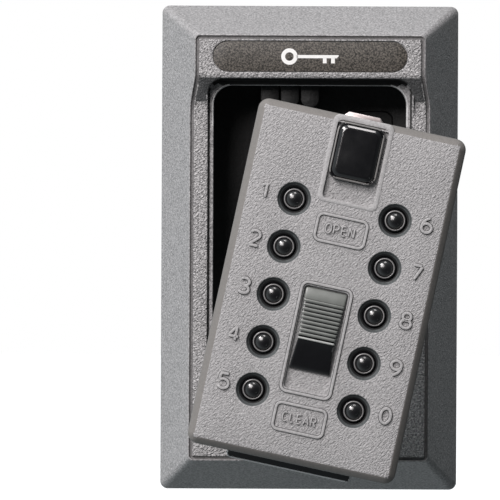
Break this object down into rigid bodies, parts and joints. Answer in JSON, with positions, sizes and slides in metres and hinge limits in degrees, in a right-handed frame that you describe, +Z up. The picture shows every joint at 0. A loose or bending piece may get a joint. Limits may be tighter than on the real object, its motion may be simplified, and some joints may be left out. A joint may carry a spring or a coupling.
{
  "type": "key lock box",
  "caption": "Wall-mounted die-cast key lock box with a lift-off push-button cover, an OPEN and a CLEAR slide, a spring latch and a bottom hook.",
  "frame": {"origin": "centre of the vault's back face, which is the centre of the four wall screw holes", "axes": "+X right as seen by a person facing the wall, +Y into the wall, +Z up"},
  "size_m": [0.098, 0.098, 0.16],
  "materials": {
    "cast_vault": "speckled grey powder coat on die-cast zinc",
    "cast_cover": "leather-grain grey powder coat on die-cast zinc",
    "badge": null,
    "steel": "plated steel",
    "bright_steel": "polished",
    "spring_steel": "drawn wire",
    "black_plastic": "gloss",
    "button_black": "gloss",
    "brass": "turned"
  },
  "bodies": {
    "vault": {"vault_body": "cast_vault", "nameplate": "badge", "strike_plate": "steel", "strike_screws": "steel"},
    "tongue_pin": {"tongue_rivet": "steel"},
    "cover": {"cover_shell": "cast_cover", "back_plate": "steel", "back_plate_screws": "steel", "bottom_tongue": "bright_steel", "open_springs": "spring_steel", "clear_spring": "spring_steel", "button_spring_1": "spring_steel", "button_spring_2": "spring_steel", "button_spring_3": "spring_steel", "button_spring_4": "spring_steel", "button_spring_5": "spring_steel", "button_spring_6": "spring_steel", "button_spring_7": "spring_steel", "button_spring_8": "spring_steel", "button_spring_9": "spring_steel", "button_spring_0": "spring_steel"},
    "open_slide": {"open_slider": "black_plastic", "latch_bolt": "bright_steel", "gate_plate": "steel"},
    "clear_slide": {"clear_slider": "black_plastic", "clear_plate": "steel"},
    "button_1": {"button_1": "button_black"},
    "code_screw_1": {"code_screw_1": "brass"},
    "button_2": {"button_2": "button_black"},
    "code_screw_2": {"code_screw_2": "brass"},
    "button_3": {"button_3": "button_black"},
    "code_screw_3": {"code_screw_3": "brass"},
    "button_4": {"button_4": "button_black"},
    "code_screw_4": {"code_screw_4": "brass"},
    "button_5": {"button_5": "button_black"},
    "code_screw_5": {"code_screw_5": "brass"},
    "button_6": {"button_6": "button_black"},
    "code_screw_6": {"code_screw_6": "brass"},
    "button_7": {"button_7": "button_black"},
    "code_screw_7": {"code_screw_7": "brass"},
    "button_8": {"button_8": "button_black"},
    "code_screw_8": {"code_screw_8": "brass"},
    "button_9": {"button_9": "button_black"},
    "code_screw_9": {"code_screw_9": "brass"},
    "button_0": {"button_0": "button_black"},
    "code_screw_0": {"code_screw_0": "brass"}
  },
  "joints": [
    {"name": "cover_pull", "type": "slide", "parent": "vault", "child": "tongue_pin", "axis": [0.0646, 0.9699, 0.2346], "range_m": [0, 0.05155]},
    {"name": "cover_turn", "type": "hinge", "parent": "tongue_pin", "child": "cover", "pos_m": [-0.00333, -0.085, -0.05359], "axis": [0, 1, 0], "range_deg": [-12, 0]},
    {"name": "open_slide", "type": "slide", "parent": "cover", "child": "open_slide", "axis": [-0.2079, 0, -0.9781], "range_m": [0, 0.006], "stiffness_N_per_m": 300, "springref_m": -0.006, "deforming": ["open_springs"]},
    {"name": "clear_slide", "type": "slide", "parent": "cover", "child": "clear_slide", "axis": [-0.2079, 0, -0.9781], "range_m": [0, 0.0055], "stiffness_N_per_m": 250, "springref_m": -0.006, "deforming": ["clear_spring"]},
    {"name": "press_1", "type": "slide", "parent": "cover", "child": "button_1", "axis": [0, 1, 0], "range_m": [0, 0.002], "stiffness_N_per_m": 400, "springref_m": -0.001, "deforming": ["button_spring_1"]},
    {"name": "press_2", "type": "slide", "parent": "cover", "child": "button_2", "axis": [0, 1, 0], "range_m": [0, 0.002], "stiffness_N_per_m": 400, "springref_m": -0.001, "deforming": ["button_spring_2"]},
    {"name": "press_3", "type": "slide", "parent": "cover", "child": "button_3", "axis": [0, 1, 0], "range_m": [0, 0.002], "stiffness_N_per_m": 400, "springref_m": -0.001, "deforming": ["button_spring_3"]},
    {"name": "press_4", "type": "slide", "parent": "cover", "child": "button_4", "axis": [0, 1, 0], "range_m": [0, 0.002], "stiffness_N_per_m": 400, "springref_m": -0.001, "deforming": ["button_spring_4"]},
    {"name": "press_5", "type": "slide", "parent": "cover", "child": "button_5", "axis": [0, 1, 0], "range_m": [0, 0.002], "stiffness_N_per_m": 400, "springref_m": -0.001, "deforming": ["button_spring_5"]},
    {"name": "press_6", "type": "slide", "parent": "cover", "child": "button_6", "axis": [0, 1, 0], "range_m": [0, 0.002], "stiffness_N_per_m": 400, "springref_m": -0.001, "deforming": ["button_spring_6"]},
    {"name": "press_7", "type": "slide", "parent": "cover", "child": "button_7", "axis": [0, 1, 0], "range_m": [0, 0.002], "stiffness_N_per_m": 400, "springref_m": -0.001, "deforming": ["button_spring_7"]},
    {"name": "press_8", "type": "slide", "parent": "cover", "child": "button_8", "axis": [0, 1, 0], "range_m": [0, 0.002], "stiffness_N_per_m": 400, "springref_m": -0.001, "deforming": ["button_spring_8"]},
    {"name": "press_9", "type": "slide", "parent": "cover", "child": "button_9", "axis": [0, 1, 0], "range_m": [0, 0.002], "stiffness_N_per_m": 400, "springref_m": -0.001, "deforming": ["button_spring_9"]},
    {"name": "press_0", "type": "slide", "parent": "cover", "child": "button_0", "axis": [0, 1, 0], "range_m": [0, 0.002], "stiffness_N_per_m": 400, "springref_m": -0.001, "deforming": ["button_spring_0"]},
    {"name": "code_1", "type": "hinge", "parent": "button_1", "child": "code_screw_1", "pos_m": [-0.00459, -0.086, 0.01456], "axis": [0, 1, 0], "range_deg": [0, 180]},
    {"name": "code_2", "type": "hinge", "parent": "button_2", "child": "code_screw_2", "pos_m": [-0.00761, -0.086, 0.00033], "axis": [0, 1, 0], "range_deg": [0, 180]},
    {"name": "code_3", "type": "hinge", "parent": "button_3", "child": "code_screw_3", "pos_m": [-0.01064, -0.086, -0.01391], "axis": [0, 1, 0], "range_deg": [0, 180]},
    {"name": "code_4", "type": "hinge", "parent": "button_4", "child": "code_screw_4", "pos_m": [-0.01366, -0.086, -0.02814], "axis": [0, 1, 0], "range_deg": [0, 180]},
    {"name": "code_5", "type": "hinge", "parent": "button_5", "child": "code_screw_5", "pos_m": [-0.01669, -0.086, -0.04237], "axis": [0, 1, 0], "range_deg": [0, 180]},
    {"name": "code_6", "type": "hinge", "parent": "button_6", "child": "code_screw_6", "pos_m": [0.02554, -0.086, 0.00815], "axis": [0, 1, 0], "range_deg": [0, 180]},
    {"name": "code_7", "type": "hinge", "parent": "button_7", "child": "code_screw_7", "pos_m": [0.02252, -0.086, -0.00608], "axis": [0, 1, 0], "range_deg": [0, 180]},
    {"name": "code_8", "type": "hinge", "parent": "button_8", "child": "code_screw_8", "pos_m": [0.01949, -0.086, -0.02031], "axis": [0, 1, 0], "range_deg": [0, 180]},
    {"name": "code_9", "type": "hinge", "parent": "button_9", "child": "code_screw_9", "pos_m": [0.01647, -0.086, -0.03454], "axis": [0, 1, 0], "range_deg": [0, 180]},
    {"name": "code_0", "type": "hinge", "parent": "button_0", "child": "code_screw_0", "pos_m": [0.01344, -0.086, -0.04877], "axis": [0, 1, 0], "range_deg": [0, 180]}
  ],
  "couplings": [
    {"joint": "cover_turn", "follows": "cover_pull", "rad_per_m": -4.0629}
  ]
}
